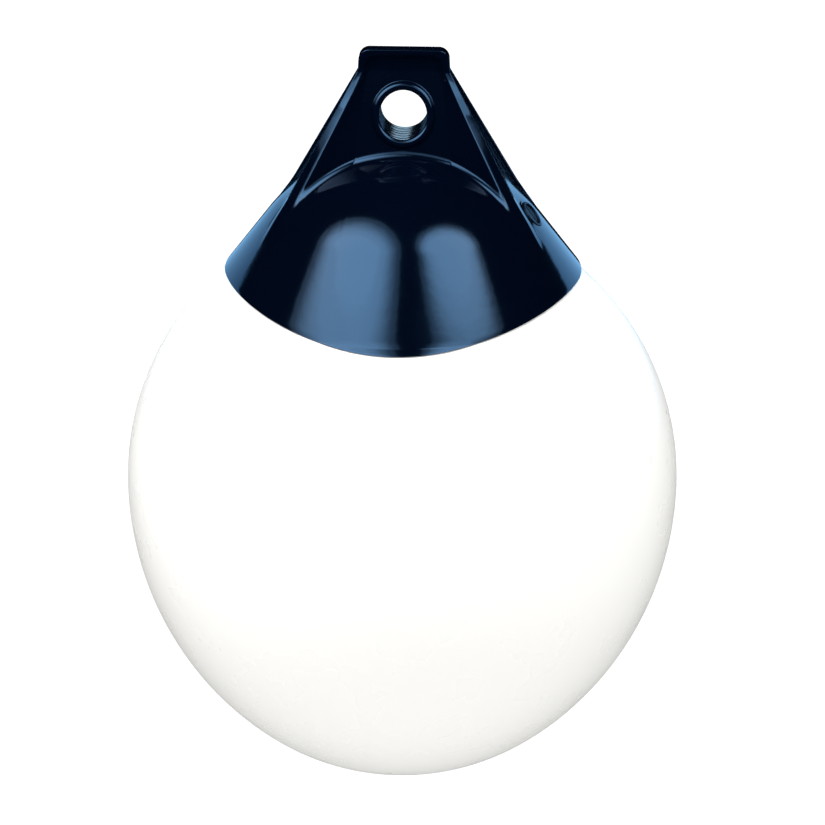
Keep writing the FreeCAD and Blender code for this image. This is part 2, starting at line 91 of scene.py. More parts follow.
# The head: levels of its base and top, half width and depth, its outline's upper corners and
# where their centres are, its rounded edge, and how much it narrows
HEAD_BASE = 27.0
HEAD_TOP = 40.5
HEAD_HALF = 29.2
HEAD_FACE = 5.6
HEAD_CORNER = 6.8
CORNER_LEVEL = HEAD_TOP - HEAD_CORNER
CORNER_REACH = 21.991
HEAD_EDGE = 0.6
HEAD_TAPER = math.atan2(0.8, 13.5)

# The recess under the head's bar: its mouth in the head's face and its bed, each as (half
# width, level of its top, radius of its corners), and the roundings of the bar and the bed
RECESS_MOUTH = (24.6, 37.0, 5.5)
RECESS_BED = (23.5, 35.9, 8.5)
BAR_EDGE = 0.9
BED_EDGE = 1.2

# Level above which the head's face follows the bar, how far the bend's column stays inside the
# mouth's corner, and how far it moves in for each millimetre above the mouth
BAR_LEVEL = 37.2
BEND_INSIDE = 0.05
BEND_SLOPE = 2.5

# The ribbed web: a quarter of its section under the head and at the ribs' feet, as
# (across, depth) corners from the middle of the front to the middle of the side, the
# roundings of the corners, and the height over which the sides come out to the head's
FOOT = -96.967
WEB_FACE = 2.7
FOOT_FACE = 39.876
SECTION_TOP = np.array([
    (0, WEB_FACE), (RECESS_BED[0], WEB_FACE), (RECESS_MOUTH[0], HEAD_FACE),
    (HEAD_HALF, HEAD_FACE), (HEAD_HALF, 2.4), (27.7, 1.8), (27.7, 0),
])
SECTION_FOOT = np.array([
    (0, FOOT_FACE), (39.9, FOOT_FACE), (91.32, 50.376),
    (98.02, 41.576), (98.02, 36.576), (94.92, 34.576), (94.92, 0),
])
WEB_LEAN = (FOOT_FACE - WEB_FACE) / (HEAD_BASE - FOOT)
WEB_AT_EYE = WEB_FACE + HEAD_BASE * WEB_LEAN
ROUND_TOP = np.array([2.2, 2.1, 0.6, 0.6, 0.8])
ROUND_FOOT = np.array([9.0, 4.5, 0.6, 0.6, 0.8])
LEDGE = 1.6

# The blend of web and crown: the height over which it grows, its least width, the least lean
# that is reckoned with, and how far out and how finely it is looked for
BLEND_RISE = 38.0
BLEND_LEAST = 0.02
LEAN_LEAST = 0.25
SEARCH_REACH = 130.0
HALVINGS = 44

# The rope eye: its bore, and its ring as a (radius, proud of the web) profile with roundings
EYE_RADIUS = 15.0
RING = np.array([[(22.4, 0.0), (20.5, 0.0), (19.1, 1.8), (EYE_RADIUS, 1.8), (EYE_RADIUS, -2.0)]])
RING_ROUND = np.array([[0.5, 2.0, 1.7]])

# The air valve: where its axis meets the skirt, its axis, the seat, the hole, the depth of the
# hole's middle, and the height along the axis at which the search for the neck starts
VALVE_AT = np.array([83.395, -13.806, -62.967])
VALVE_AXIS = np.array([0.7805991, -0.1292273, 0.611527])
SEAT_RADIUS = 9.2
SEAT_DEPTH = 5.0
HOLE_RADIUS = 6.3
HOLE_MIDDLE = 7.0
NECK_START = -9.0

# Columns of the cap's grid on each straight run and on each rounded corner of the quarter
RUNS = (14, 16, 6, 4, 3, 14)
BENDS = (5, 6, 5, 3, 3)
FIRST_SIDE = sum(RUNS[:3]) + sum(BENDS[:3])
QUARTER = sum(RUNS) + sum(BENDS)
COLUMNS = 4 * QUARTER

# Rows of the cap: head, skirt above and below its bend, rim's edge, hollow outside and inside
# the valve's window, ring; then loops to the ring, along the bore, to the lip and to the hole
HEAD_RUNS = (5, 6, 3, 12)
HEAD_BENDS = (5, 5, 5)
SKIRT_ROWS = 7
LIP_ROWS = 5
EDGE_ROWS = 5
HOLLOW_ROWS = (12, 16)
RING_RUNS = (3, 2, 4, 3)
RING_BENDS = (5, 8, 8)
FLAT_LOOPS = 4
BORE_LOOPS = 6
LIP_LOOPS = 4
HOLE_LOOPS = 3

# The ball's grid: rows on nose, flank and upper half, rows on the neck outside the valve's
# window, in it and inside it, and columns all round
BALL_ROWS = (60, 40, 60)
NECK_ROWS = (12, 15, 14)
BALL_COLUMNS = 240

# Windows in the grids: levels and columns for the rope eye and for the valve's seat, then
# radii and columns for the valve's hole in the hollow and in the neck
EYE_LEVELS = (-22.6, 23.4)
EYE_COLUMNS = 12
SEAT_LEVELS = (-72.2, -53.8)
SEAT_COLUMNS = range(QUARTER - 12, QUARTER)
HOLE_RADII = (69.0, 86.0)
HOLLOW_COLUMNS = range(QUARTER - 11, QUARTER - 1)
NECK_COLUMNS = range(-12, 0)

# The share of a run that one corner's arc may take, the rows that the web is measured on, the
# rounds in which the rim and a height on the valve's axis settle, and the weld's decimals
ARC_SHARE = 0.48
FINE_ROWS = 3000
RIM_ROUNDS = 8
AXIS_ROUNDS = 12
WELD_DECIMALS = 4


# Shapes worked out as whole arrays

def unit(vectors):
    """Each vector over its own length."""
    return vectors / np.maximum(np.linalg.norm(vectors, axis=-1, keepdims=True), 1e-12)


def smooth_step(values, low, high):
    """0 below low, 1 above high, and 3t^2 - 2t^3 between them."""
    part = np.clip((values - low) / (high - low), 0, 1)
    return part * part * (3 - 2 * part)


def blend_least(first, second, width):
    """The lesser of two distances, less (width - difference)^2 / (4 width) where they are close."""
    close = np.maximum(width - np.abs(first - second), 0)
    return np.minimum(first, second) - close * close / (4 * width)


def rounded_line(corners, radii, runs, bends):
    """Straight runs through corners, each corner turned into an arc tangent to both runs.

    The arc starts radius * tan(turn / 2) before its corner. Corners are (rows, corners, 2),
    and the points come back as (rows, points, 2).
    """
    steps = np.diff(corners, axis=1)
    lengths = np.maximum(np.linalg.norm(steps, axis=2), 1e-9)
    ways = steps / lengths[..., None]
    before, after = ways[:, :-1], ways[:, 1:]
    cross = before[..., 0] * after[..., 1] - before[..., 1] * after[..., 0]
    dot = np.clip((before * after).sum(axis=2), -1, 1)
    turn = np.maximum(np.abs(np.arctan2(cross, dot)), 1e-6)
    room = ARC_SHARE * np.minimum(lengths[:, :-1], lengths[:, 1:])
    reach = np.minimum(radii * np.tan(turn / 2), room)
    bend = reach / np.tan(turn / 2)
    side = np.stack([-before[..., 1], before[..., 0]], axis=2)
    side = side * np.where(cross < 0, -1, 1)[..., None]
    last = len(runs) - 1
    pieces = []
    for index in range(last + 1):
        start = corners[:, index]
        end = corners[:, index + 1]
        if index > 0:
            start = start + ways[:, index] * reach[:, index - 1, None]
        if index < last:
            end = end - ways[:, index] * reach[:, index, None]
        part = np.linspace(0, 1, runs[index], endpoint=False)[None, :, None]
        pieces.append(start[:, None] + (end - start)[:, None] * part)
        if index < last:
            angle = np.linspace(0, 1, bends[index], endpoint=False)[None, :] * turn[:, index, None]
            along = before[:, index, None] * np.sin(angle)[..., None]
            aside = side[:, index, None] * (1 - np.cos(angle))[..., None]
            pieces.append(end[:, None] + bend[:, index, None, None] * (along + aside))
    pieces.append(corners[:, -1:])
    return np.concatenate(pieces, axis=1)


def all_round(quarter):
    """A quarter of (across, depth) points mirrored into a closed loop of (x, y) points."""
    across, depth = quarter[..., 0], quarter[..., 1]
    back = slice(None, 0, -1)
    x = np.concatenate([across[:, :-1], across[:, back], -across[:, :-1], -across[:, back]], axis=1)
    y = np.concatenate([-depth[:, :-1], depth[:, back], depth[:, :-1], -depth[:, back]], axis=1)
    return x, y


def crown_gap(radius, level):
    """Distance outside the crown's sphere, or outside the skirt's cone below their meeting."""
    up = level - CROWN_CENTRE
    sphere = np.hypot(radius, up) - CROWN_RADIUS
    cone = (radius - SKIRT_EDGE + (level - CREASE) * math.tan(SKIRT_SLOPE)) * math.cos(SKIRT_SLOPE)
    return np.where(up > radius * math.tan(SKIRT_SLOPE), sphere, cone)


def neck_profile(growth):
    """The ball moved outwards: its radius, its neck's edge, and the dome's radius and centre."""
    ball = BALL_RADIUS + growth
    edge = math.sqrt(ball ** 2 - (CREASE - WAIST) ** 2)
    dome = NECK_CROWN + growth
    centre = CREASE + edge / math.tan(NECK_SLOPE) - dome / math.sin(NECK_SLOPE)
    return ball, edge, dome, centre


def neck_level(radius, growth):
    """Level of the ball's top at a radius: domed top, then the neck's cone, then the sphere."""
    ball, edge, dome, centre = neck_profile(growth)
    on_dome = centre + np.sqrt(np.maximum(dome ** 2 - radius ** 2, 0))
    on_cone = CREASE + (edge - radius) / math.tan(NECK_SLOPE)
    on_ball = WAIST + np.sqrt(np.maximum(ball ** 2 - radius ** 2, 0))
    outer = np.where(radius > edge, on_ball, on_cone)
    return np.where(radius < dome * math.cos(NECK_SLOPE), on_dome, outer)


def web_quarter(levels):
    """The ribbed web's quarter section at each level, ruled between its top and its feet."""
    part = ((HEAD_BASE - levels) / (HEAD_BASE - FOOT))[:, None]
    corners = SECTION_TOP[None] + (SECTION_FOOT - SECTION_TOP)[None] * part[..., None]
    radii = ROUND_TOP[None] + (ROUND_FOOT - ROUND_TOP)[None] * part
    quarter = rounded_line(corners, radii, RUNS, BENDS)
    ledge = smooth_step(levels, HEAD_BASE - LEDGE, HEAD_BASE)[:, None]
    side = quarter[:, FIRST_SIDE:, 0]
    quarter[:, FIRST_SIDE:, 0] = side + (corners[:, 3, :1] - side) * ledge
    return quarter


def ray_ways():
    """Which way each column of a quarter looks: to the front, or past the rib to the side."""
    turn = np.zeros(QUARTER + 1)
    start = FIRST_SIDE - BENDS[2]
    turn[start:FIRST_SIDE] = np.linspace(0, 1, BENDS[2], endpoint=False) * math.pi / 2
    turn[FIRST_SIDE:] = math.pi / 2
    return np.stack([np.sin(turn), np.cos(turn)], axis=1)


def push_to_crown(quarter, levels, fillet):
    """Move the web's points out along their ways until they lie on the web joined to the crown.

    The distance t solves blend_least(t * lean, crown_gap) = 0 by halving, where lean is the
    part of the way that is square to the web's surface.
    """
    ways = ray_ways()[None]
    up = np.broadcast_to(levels[:, None, None], quarter.shape[:2] + (1,))
    place = np.concatenate([quarter, up], axis=2)
    square = unit(np.cross(np.gradient(place, axis=0), np.gradient(place, axis=1)))
    lean = np.clip(np.abs((square[..., :2] * ways).sum(axis=2)), LEAN_LEAST, 1)
    width = fillet * smooth_step(levels, FOOT, FOOT + BLEND_RISE)
    width = np.maximum(width, BLEND_LEAST)[:, None]
    low = np.zeros(quarter.shape[:2])
    high = np.full(quarter.shape[:2], SEARCH_REACH)
    for halving in range(HALVINGS):
        middle = (low + high) / 2
        spot = quarter + ways * middle[..., None]
        gap = crown_gap(np.hypot(spot[..., 0], spot[..., 1]), levels[:, None])
        inside = blend_least(middle * lean, gap, width) < 0
        low = np.where(inside, middle, low)
        high = np.where(inside, high, middle)
    return quarter + ways * high[..., None]


def web_levels(fillet, step):
    """Levels of the web's rows, evenly spaced along the surface in the middle of the front."""
    fine = np.linspace(HEAD_BASE, FOOT, FINE_ROWS)
    quarter = push_to_crown(web_quarter(fine), fine, fillet)
    depth = quarter[:, 0, 1]
    length = np.concatenate([[0], np.cumsum(np.hypot(np.diff(fine), np.diff(depth)))])
    count = int(length[-1] / step)
    return np.interp(np.linspace(0, length[-1], count), length, fine)


def head_half_width(levels, inset):
    """Half width of the head at a level, of its outline moved inwards by an inset."""
    side = HEAD_HALF - (levels - HEAD_BASE) * math.tan(HEAD_TAPER) - inset / math.cos(HEAD_TAPER)
    corner = HEAD_CORNER - inset
    above = levels - CORNER_LEVEL
    arc = CORNER_REACH + np.sqrt(np.maximum(corner ** 2 - above ** 2, 0))
    return np.where(above > corner * math.sin(HEAD_TAPER), arc, side)


def corner_half(levels, outline):
    """Half width at each level of an outline with round upper corners.

    Above the corners' centres it is half - corner + sqrt(corner^2 - rise^2).
    """
    half, top, corner = outline
    rise = np.clip(levels - (top - corner), 0, corner)
    return half - corner + np.sqrt(corner ** 2 - rise ** 2)


def head_rows():
    """The head's rows from its top's middle line down to its base, as quarter points and levels.

    The middle profile runs over the top, round its edge, down the bar and into the recess.
    """
    mouth_half, mouth_top, mouth_corner = RECESS_MOUTH
    bed_half, bed_top, bed_corner = RECESS_BED
    profile = np.array([[
        (HEAD_TOP, 0), (HEAD_TOP, HEAD_FACE), (mouth_top, HEAD_FACE),
        (bed_top, WEB_FACE), (HEAD_BASE, WEB_FACE),
    ]])
    edges = np.array([[HEAD_EDGE, BAR_EDGE, BED_EDGE]])
    middle = rounded_line(profile, edges, HEAD_RUNS, HEAD_BENDS)[0, :-1]
    levels, middle_depth = middle[:, 0], middle[:, 1]
    face = np.where(levels > BAR_LEVEL, middle_depth, HEAD_FACE)
    inside = corner_half(levels, RECESS_MOUTH)
    low_bend = bed_half - bed_corner
    high_bend = mouth_half - mouth_corner - BEND_INSIDE
    climb = np.clip((levels - bed_top) / (mouth_top - bed_top), 0, 1)
    bend = corner_half(levels, RECESS_BED)
    bend = np.where(levels > bed_top, low_bend + (high_bend - low_bend) * climb, bend)
    bend = np.where(levels > mouth_top, high_bend - (levels - mouth_top) * BEND_SLOPE, bend)
    drop = np.clip(HEAD_TOP - levels, 0, HEAD_EDGE)
    most = np.arccos(1 - drop / HEAD_EDGE)
    turn = most[:, None] * np.linspace(1, 0, BENDS[2] + 1)[None, :]
    inset = HEAD_EDGE * (1 - np.cos(turn))
    edge_across = head_half_width(levels[:, None], inset)
    edge_depth = HEAD_FACE - HEAD_EDGE + HEAD_EDGE * np.sin(turn)
    corners = np.stack([
        np.stack([0 * levels, middle_depth], axis=1),
        np.stack([bend, middle_depth], axis=1),
        np.stack([inside, face], axis=1),
        np.stack([edge_across[:, 0], face], axis=1),
    ], axis=1)
    front = rounded_line(corners, ROUND_TOP[None, :2], RUNS[:3], BENDS[:2])[:, :-1]
    edge = np.stack([edge_across, edge_depth], axis=2)[:, :-1]
    side_depth = web_quarter(np.array([HEAD_BASE - 0.001]))[0, FIRST_SIDE:, 1]
    side_depth = side_depth * (HEAD_FACE - HEAD_EDGE) / side_depth[0]
    side_across = np.broadcast_to(edge_across[:, -1:], (len(levels), len(side_depth)))
    side = np.stack([side_across, np.broadcast_to(side_depth, side_across.shape)], axis=2)
    quarter = np.concatenate([front, edge, side], axis=1)
    on_top = (levels > HEAD_TOP - 1e-9)[:, None]
    capped = np.minimum(quarter[..., 1], middle_depth[:, None])
    quarter[..., 1] = np.where(on_top, capped, quarter[..., 1])
    return quarter, levels


def rim_level(depth):
    """Level of the rim at a depth from the middle plane: level at the side, then an arch."""
    beyond = np.maximum(np.abs(depth) - RIM_FLAT, 0)
    return RIM_TOP - RIM_ARCH + np.sqrt(RIM_ARCH ** 2 - beyond ** 2)


def skirt_radius(level):
    """Radius of the skirt's cone, and of the lip's sphere below the neck's edge."""
    cone = SKIRT_EDGE - (level - CREASE) * math.tan(SKIRT_SLOPE)
    lip = np.sqrt(np.maximum(LIP_RADIUS ** 2 - (level - WAIST) ** 2, 0))
    return np.where(level > CREASE, cone, lip)


def skirt_rows(azimuth):
    """Radii and levels of each column from the ribs' feet down to the rim and round its edge.

    The rim's depth is the skirt's radius there times the sine of the azimuth, and it settles in
    a few rounds. The rim's levels come back too.
    """
    depth = SKIRT_EDGE * np.sin(azimuth)
    for settling in range(RIM_ROUNDS):
        rim = rim_level(depth)
        depth = skirt_radius(rim) * np.sin(azimuth)
    bottom = rim + FINE_EDGE
    knee = np.maximum(CREASE, bottom)
    upper = np.linspace(0, 1, SKIRT_ROWS)[1:, None]
    lower = np.linspace(0, 1, LIP_ROWS)[1:, None]
    levels = np.concatenate([
        FOOT + (knee - FOOT)[None] * upper,
        knee[None] + (bottom - knee)[None] * lower,
    ])
    radii = skirt_radius(levels)
    turn = np.linspace(0, math.pi / 2, EDGE_ROWS)[1:, None]
    around_level = bottom[None] - FINE_EDGE * np.sin(turn)
    around_radius = radii[-1][None] - FINE_EDGE * (1 - np.cos(turn))
    return np.concatenate([radii, around_radius]), np.concatenate([levels, around_level]), rim


def seat_rows(rim, cells):
    """The hollow that sits on the ball, from the rim's inner edge up to its pole.

    Rows are at equal radii, with a number of cells in the window where the valve comes through.
    The number of the window's first row comes back too.
    """
    least, most = HOLE_RADII
    on_ball = np.sqrt((BALL_RADIUS + BOND_GAP) ** 2 - (rim - WAIST) ** 2)
    on_neck = neck_profile(BOND_GAP)[1] - (rim - CREASE) * math.tan(NECK_SLOPE)
    start = np.where(rim < CREASE, on_ball, on_neck)
    outer = most + (start - most)[None] * np.linspace(1, 0, HOLLOW_ROWS[0])[:, None]
    middle = np.linspace(most, least, cells + 1)[1:, None] + 0 * start[None]
    inner = np.linspace(least, 0, HOLLOW_ROWS[1])[1:, None] + 0 * start[None]
    radii = np.concatenate([outer, middle, inner])
    levels = neck_level(radii, BOND_GAP)
    levels[0] = rim
    return radii, levels, len(outer) - 1


def grid_faces(rows, columns, holes):
    """Quads of a grid that closes round its columns, without the cells of each hole."""
    number = np.arange(rows * columns).reshape(rows, columns)
    right = np.roll(number, -1, axis=1)
    quads = np.stack([number[:-1], number[1:], right[1:], right[:-1]], axis=2)
    keep = np.ones((rows - 1, columns), bool)
    for first_row, last_row, window in holes:
        keep[first_row:last_row, np.array(window[:-1]) % columns] = False
    return quads[keep]


def hole_loop(columns, first_row, last_row, window):
    """Numbers of the vertices round a hole in the grid, in order."""
    window = np.array(window) % columns
    down = np.arange(first_row, last_row)
    top = first_row * columns + window[:-1]
    right = down * columns + window[-1]
    bottom = last_row * columns + window[:0:-1]
    left = down[::-1] * columns + columns + window[0]
    return np.concatenate([top, right, bottom, left])


def band_faces(loops):
    """Quads between loops of vertex numbers, each loop closed round."""
    after = np.roll(loops, -1, axis=1)
    return np.stack([loops[:-1], loops[1:], after[1:], after[:-1]], axis=2).reshape(-1, 4)


class Shell:
    """Vertices and quads that are gathered, welded and made into one closed mesh."""

    def __init__(self):
        self.places = []
        self.quads = []
        self.count = 0

    def add(self, places):
        """Take in an array of places and give the number of each."""
        places = np.asarray(places, float)
        numbers = self.count + np.arange(places[..., 0].size).reshape(places.shape[:-1])
        self.places.append(places.reshape(-1, 3))
        self.count += numbers.size
        return numbers

    def all_places(self):
        """Every place so far, as one array."""
        return np.concatenate(self.places)

    def make(self, name):
        """Weld the places, cut quads to triangles, point faces outwards and weigh normals."""
        places = self.all_places()
        quads = np.concatenate(self.quads)
        keys = np.round(places, WELD_DECIMALS)
        first, inverse = np.unique(keys, axis=0, return_index=True, return_inverse=True)[1:]
        places = places[first]
        quads = inverse.reshape(-1)[quads]
        triangles = np.concatenate([quads[:, [0, 1, 2]], quads[:, [0, 2, 3]]])
        triangles = triangles[(triangles != np.roll(triangles, 1, axis=1)).all(axis=1)]
        mesh = bpy.data.meshes.new(name)
        mesh.from_pydata((places * MM).tolist(), [], triangles.tolist())
        work = bmesh.new()
        work.from_mesh(mesh)
        bmesh.ops.recalc_face_normals(work, faces=work.faces)
        loose = [vertex for vertex in work.verts if not vertex.link_faces]
        bmesh.ops.delete(work, geom=loose, context="VERTS")
        work.to_mesh(mesh)
        work.free()
        weigh_normals(mesh)
        piece = bpy.data.objects.new(name, mesh)
        bpy.context.scene.collection.objects.link(piece)
        return piece


def weigh_normals(mesh):
    """Smooth shading in which each vertex takes the sum of its faces' normals times their areas."""
    places = np.zeros(len(mesh.vertices) * 3)
    mesh.vertices.foreach_get("co", places)
    places = places.reshape(-1, 3)
    corners = np.zeros(len(mesh.loops), np.int64)
    mesh.loops.foreach_get("vertex_index", corners)
    corners = corners.reshape(-1, 3)
    first, second, third = (places[corners[:, index]] for index in range(3))
    normals = np.cross(second - first, third - first)
    total = np.zeros_like(places)
    for index in range(3):
        np.add.at(total, corners[:, index], normals)
    mesh.polygons.foreach_set("use_smooth", np.ones(len(mesh.polygons), bool))
    mesh.normals_split_custom_set_from_vertices(unit(total).tolist())


def sort_round(places, loop, centre, first_way, second_way):
    """Put a loop's numbers in the order of their angle round a centre, and give the angles."""
    offset = places[loop] - centre
    angle = np.arctan2(offset @ second_way, offset @ first_way)
    order = np.argsort(angle)
    return loop[order], angle[order], (offset @ first_way)[order], (offset @ second_way)[order]


def valve_ways():
    """Two ways square to the valve's axis: level across, and up the skirt."""
    across = unit(np.cross([0.0, 0.0, 1.0], VALVE_AXIS))
    return across, np.cross(VALVE_AXIS, across)


def valve_spot(across, up, height):
    """Places at distances across, up and along the valve's axis from where it meets the skirt."""
    ways = valve_ways()
    return (
        VALVE_AT
        + across[..., None] * ways[0]
        + up[..., None] * ways[1]
        + height[..., None] * VALVE_AXIS
    )


def valve_points(radius, angle, height):
    """Points at a radius and angle round the valve's axis, at a height along it."""
    radius, height = np.broadcast_arrays(radius, height, angle)[:2]
    return valve_spot(radius * np.cos(angle), radius * np.sin(angle), height)


def outside_gap(spot):
    """Distance outside the cap's crown and skirt."""
    return crown_gap(np.hypot(spot[..., 0], spot[..., 1]), spot[..., 2])


def neck_gap(growth):
    """A function that gives the distance outside the ball's domed neck, moved outwards."""
    dome, centre = neck_profile(growth)[2:]

    def gap(spot):
        return np.linalg.norm(spot - [0, 0, centre], axis=-1) - dome

    return gap


def close_in(angle, flat, radius, gap, start, steps):
    """Loops of points on a surface, from a hole's edge in to a circle round the valve's axis.

    Flat holds the edge's distances across and up. Each loop is the edge times 1 - part plus the
    circle times part, and its height along the axis loses its gap to the surface in each round.
    """
    part = np.linspace(0, 1, steps + 1)[1:, None]
    across = flat[0] * (1 - part) + radius * np.cos(angle) * part
    up = flat[1] * (1 - part) + radius * np.sin(angle) * part
    height = np.full_like(across, start)
    for settling in range(AXIS_ROUNDS):
        height = height - gap(valve_spot(across, up, height))
    return valve_spot(across, up, height)


def turned(radii, azimuth, levels):
    """Places at radii and levels in each azimuth round the buoy's axis."""
    rings = np.broadcast_arrays(radii * np.cos(azimuth), radii * np.sin(azimuth), levels)
    return np.stack(rings, axis=2)


def add_ring(shell, places, hole, side):
    """Add the ring and half the bore to one side of the web, -1 being the front.

    All loops keep the angles of the hole's edge. They close in over the leaning web to the
    ring's foot, follow the ring's profile, and end in the bore's middle.
    """
    profile = rounded_line(RING, RING_ROUND, RING_RUNS, RING_BENDS)[0]
    ways = np.eye(3)
    loop = hole_loop(COLUMNS, *hole)
    loop, angle, across, up = sort_round(places, loop, np.zeros(3), ways[0], ways[2])
    part = np.linspace(0, 1, FLAT_LOOPS)[1:-1, None]
    flat_x = across * (1 - part) + profile[0, 0] * np.cos(angle) * part
    flat_z = up * (1 - part) + profile[0, 0] * np.sin(angle) * part
    flat_y = WEB_AT_EYE - flat_z * WEB_LEAN
    bore = np.linspace(1, 0, BORE_LOOPS)[1:, None]
    radii = np.concatenate([profile[:, :1], EYE_RADIUS + 0 * bore])
    ring_y = WEB_AT_EYE - profile[:, :1] * np.sin(angle) * WEB_LEAN + profile[:, 1:]
    loops = np.stack([
        np.concatenate([flat_x, radii * np.cos(angle)]),
        side * np.concatenate([flat_y, ring_y, ring_y[-1] * bore]),
        np.concatenate([flat_z, radii * np.sin(angle)]),
    ], axis=2)
    shell.quads.append(band_faces(np.concatenate([loop[None], shell.add(loops)])))


def add_seat(shell, places, hole, hollow_hole):
    """Add the valve's seat, from the skirt round its lip, down the counterbore to the hollow."""
    loop = hole_loop(COLUMNS, *hole)
    outer, angle, *flat = sort_round(places, loop, VALVE_AT, *valve_ways())
    rim_loops = close_in(angle, flat, SEAT_RADIUS + FINE_EDGE, outside_gap, 0.0, LIP_LOOPS)
    rim_height = (rim_loops[-1] - VALVE_AT) @ VALVE_AXIS
    turn = np.linspace(0, math.pi / 2, LIP_LOOPS)[1:, None]
    lip_radius = SEAT_RADIUS + FINE_EDGE * (1 - np.sin(turn))
    lip_loops = valve_points(lip_radius, angle, rim_height - FINE_EDGE * (1 - np.cos(turn)))
    wall = valve_points(
        np.array([SEAT_RADIUS, HOLE_RADIUS, HOLE_RADIUS])[:, None],
        angle,
        np.array([-SEAT_DEPTH, -SEAT_DEPTH, -HOLE_MIDDLE])[:, None],
    )
    loop = hole_loop(COLUMNS, *hollow_hole)
    inner, angle, *flat = sort_round(places, loop, VALVE_AT, *valve_ways())
    hollow = close_in(angle, flat, HOLE_RADIUS, neck_gap(BOND_GAP), NECK_START, HOLE_LOOPS)
    bands = [outer[None], shell.add(rim_loops), shell.add(lip_loops), shell.add(wall)]
    bands = bands + [shell.add(hollow[::-1]), inner[None]]
    shell.quads.append(band_faces(np.concatenate(bands)))


def cap_mesh(fillet, step):
    """The rope-eye cap as one closed shell: a grid round its axis, with bands in its windows."""
    levels = web_levels(fillet, step)
    web = push_to_crown(web_quarter(levels), levels, fillet)
    head, head_levels = head_rows()
    x, y = all_round(np.concatenate([head, web]))
    z = np.concatenate([head_levels, levels])[:, None] + 0 * x
    azimuth = np.arctan2(y[-1], x[-1])
    skirt_radii, skirt_levels, rim = skirt_rows(azimuth)

    # The windows of the eye and the valve, with as many cells round the valve's in the hollow
    rows = np.arange(len(z))
    eye_rows = rows[(z[:, 0] > EYE_LEVELS[0]) & (z[:, 0] < EYE_LEVELS[1])]
    window_rows = rows[(z[:, 0] > SEAT_LEVELS[0]) & (z[:, 0] < SEAT_LEVELS[1])]
    cells = window_rows[-1] - window_rows[0] + len(SEAT_COLUMNS) - len(HOLLOW_COLUMNS)
    hollow_radii, hollow_levels, first_cell = seat_rows(rim, cells)
    hollow_start = len(z) + len(skirt_levels) + first_cell
    back = 2 * QUARTER
    holes = [
        (eye_rows[0], eye_rows[-1], range(-EYE_COLUMNS, EYE_COLUMNS + 1)),
        (eye_rows[0], eye_rows[-1], range(back - EYE_COLUMNS, back + EYE_COLUMNS + 1)),
        (window_rows[0], window_rows[-1], SEAT_COLUMNS),
        (hollow_start, hollow_start + cells, HOLLOW_COLUMNS),
    ]
    all_rows = np.concatenate([
        np.stack([x, y, z], axis=2),
        turned(skirt_radii, azimuth, skirt_levels),
        turned(hollow_radii, azimuth, hollow_levels),
    ])
    shell = Shell()
    shell.add(all_rows)
    shell.quads.append(grid_faces(len(all_rows), COLUMNS, holes))
    places = shell.all_places()
    add_ring(shell, places, holes[0], -1)
    add_ring(shell, places, holes[1], 1)
    add_seat(shell, places, holes[2], holes[3])
    return shell


def arc(across, level, radius, start, end, rows):
    """Points of an arc round (across, level), without its end."""
    turn = np.linspace(start, end, rows, endpoint=False)
    return np.stack([across + radius * np.cos(turn), level + radius * np.sin(turn)], axis=1)


def ball_profile_rows(growth):
    """The ball's half section from its bottom pole to its top pole, as radii and levels.

    Three arcs that meet without a kink, for nose, flank and upper half, then the neck.
    """
    ball, edge = neck_profile(growth)[:2]
    flank = ball + FLANK_OVER
    nose = flank - math.hypot(FLANK_OVER, NOSE_DROP)
    meet = math.atan2(-NOSE_DROP, FLANK_OVER)
    least, most = HOLE_RADII
    radii = np.concatenate([
        np.linspace(edge, most, NECK_ROWS[0], endpoint=False),
        np.linspace(most, least, NECK_ROWS[1], endpoint=False),
        np.linspace(least, 0, NECK_ROWS[2]),
    ])
    return np.concatenate([
        arc(0, WAIST - NOSE_DROP, nose, -math.pi / 2, meet, BALL_ROWS[0]),
        arc(-FLANK_OVER, WAIST, flank, meet, 0, BALL_ROWS[1]),
        arc(0, WAIST, ball, 0, math.asin((CREASE - WAIST) / ball), BALL_ROWS[2]),
        np.stack([radii, neck_level(radii, growth)], axis=1),
    ])


def ball_mesh():
    """The inflated skin: outer and inner walls that meet in the valve's hole through the neck."""
    azimuth = np.arange(BALL_COLUMNS) * 2 * math.pi / BALL_COLUMNS
    shell = Shell()
    bands = []
    for growth in (0.0, -SKIN_WALL):
        profile = ball_profile_rows(growth)
        last = len(profile) - NECK_ROWS[2]
        hole = (last - NECK_ROWS[1], last, NECK_COLUMNS)
        start = shell.count
        shell.add(turned(profile[:, :1], azimuth, profile[:, 1:]))
        shell.quads.append(grid_faces(len(profile), BALL_COLUMNS, [hole]) + start)
        loop = hole_loop(BALL_COLUMNS, *hole) + start
        loop, angle, *flat = sort_round(shell.all_places(), loop, VALVE_AT, *valve_ways())
        loops = close_in(angle, flat, HOLE_RADIUS, neck_gap(growth), NECK_START, HOLE_LOOPS)
        numbers = np.concatenate([loop[None], shell.add(loops)])
        bands.append(numbers if growth == 0 else numbers[::-1])
    shell.quads.append(band_faces(np.concatenate(bands)))
    return shell


# Finishes: plain white, the blue of the navy pieces' gloss, how strongly plastic bends light,
# and between which radii in metres the marks in the rope eye's bore fade out
WHITE = (1.0, 1.0, 1.0, 1.0)
BLUE_GLOSS = (0.25, 0.55, 1.0, 1.0)
PLASTIC_IOR = 1.5
BORE_EDGE = (0.0152, 0.0162)


